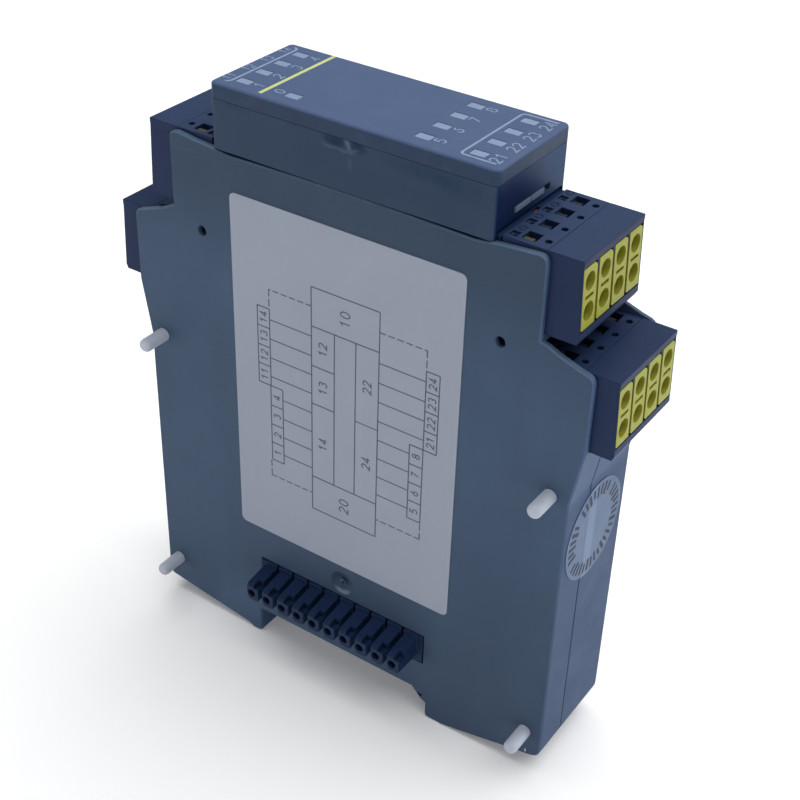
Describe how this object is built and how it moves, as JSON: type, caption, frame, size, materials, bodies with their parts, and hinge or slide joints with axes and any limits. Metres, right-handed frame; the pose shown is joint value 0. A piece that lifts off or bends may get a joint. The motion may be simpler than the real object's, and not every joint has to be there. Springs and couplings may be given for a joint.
{
  "type": "safety io module",
  "caption": "Slim rail-mounted safety input and output module in a two-shell plastic housing, with pull-off spring-clamp plugs, a front with indicator windows and a side bus connector.",
  "frame": {"origin": "centre of the rail seat: the face that lies on the front of the mounting rail, midway between the rail's edges and midway across the 22.5 mm width", "axes": "+Z from the rail towards the indicator front, +X along the housing's length towards the latch, +Y across the width away from the labelled side"},
  "size_m": [0.1052, 0.0287, 0.1208],
  "materials": {
    "housing": "fine-grained matt polyamide",
    "hood": "matt polyamide",
    "front": "satin printed front",
    "plug": "satin polyamide",
    "insert": "satin polyamide",
    "peg": "satin natural plastic",
    "label": "matt film",
    "seal": "satin film",
    "clear": "translucent",
    "catch": "satin",
    "red_tab": "satin",
    "board": "solder-resist",
    "chip": "moulded epoxy",
    "can": "bare can",
    "core": "ferrite",
    "contact": "tinned",
    "spring": "bare",
    "latch": "satin polyamide"
  },
  "bodies": {
    "module": {"side_cover": "housing", "housing_tub": "housing", "front_hood": "hood", "front_plate": "front", "light_guide": "clear", "indicator_board": "board", "indicator_leds": "clear", "hood_catches": "catch", "main_board": "board", "channel_board": "board", "board_link": "chip", "front_link": "chip", "controllers": "chip", "input_couplers": "chip", "output_switches": "chip", "smoothing_caps": "can", "isolating_transformer": "core", "power_choke": "core", "bus_plug": "plug", "bus_socket": "plug", "bus_contacts": "contact", "bus_board": "board", "locating_pegs": "peg", "peg_sockets": "housing", "side_label": "label", "end_seal": "seal", "latch_spring": "spring", "coding_tab": "red_tab", "header_upper_right": "plug", "header_pins_upper_right": "contact", "header_lower_right": "plug", "header_pins_lower_right": "contact", "header_upper_left": "plug", "header_pins_upper_left": "contact", "header_lower_left": "plug", "header_pins_lower_left": "contact"},
    "plug_upper_right": {"plug_body_upper_right": "plug", "wire_funnels_upper_right": "insert", "clamp_springs_upper_right": "spring", "plug_contacts_upper_right": "contact"},
    "plug_lower_right": {"plug_body_lower_right": "plug", "wire_funnels_lower_right": "insert", "clamp_springs_lower_right": "spring", "plug_contacts_lower_right": "contact"},
    "plug_upper_left": {"plug_body_upper_left": "plug", "wire_funnels_upper_left": "insert", "clamp_springs_upper_left": "spring", "plug_contacts_upper_left": "contact"},
    "plug_lower_left": {"plug_body_lower_left": "plug", "wire_funnels_lower_left": "insert", "clamp_springs_lower_left": "spring", "plug_contacts_lower_left": "contact"},
    "rail_latch": {"rail_latch": "latch"}
  },
  "joints": [
    {"name": "plug_upper_right_pull", "type": "slide", "parent": "module", "child": "plug_upper_right", "axis": [1, 0, 0], "range_m": [0, 0.01]},
    {"name": "plug_lower_right_pull", "type": "slide", "parent": "module", "child": "plug_lower_right", "axis": [1, 0, 0], "range_m": [0, 0.01]},
    {"name": "plug_upper_left_pull", "type": "slide", "parent": "module", "child": "plug_upper_left", "axis": [-1, 0, 0], "range_m": [0, 0.01]},
    {"name": "plug_lower_left_pull", "type": "slide", "parent": "module", "child": "plug_lower_left", "axis": [-1, 0, 0], "range_m": [0, 0.01]},
    {"name": "rail_latch_slide", "type": "slide", "parent": "module", "child": "rail_latch", "axis": [1, 0, 0], "range_m": [0, 0.0024], "stiffness_N_per_m": 900, "springref_m": -0.0012, "deforming": ["latch_spring"]}
  ]
}
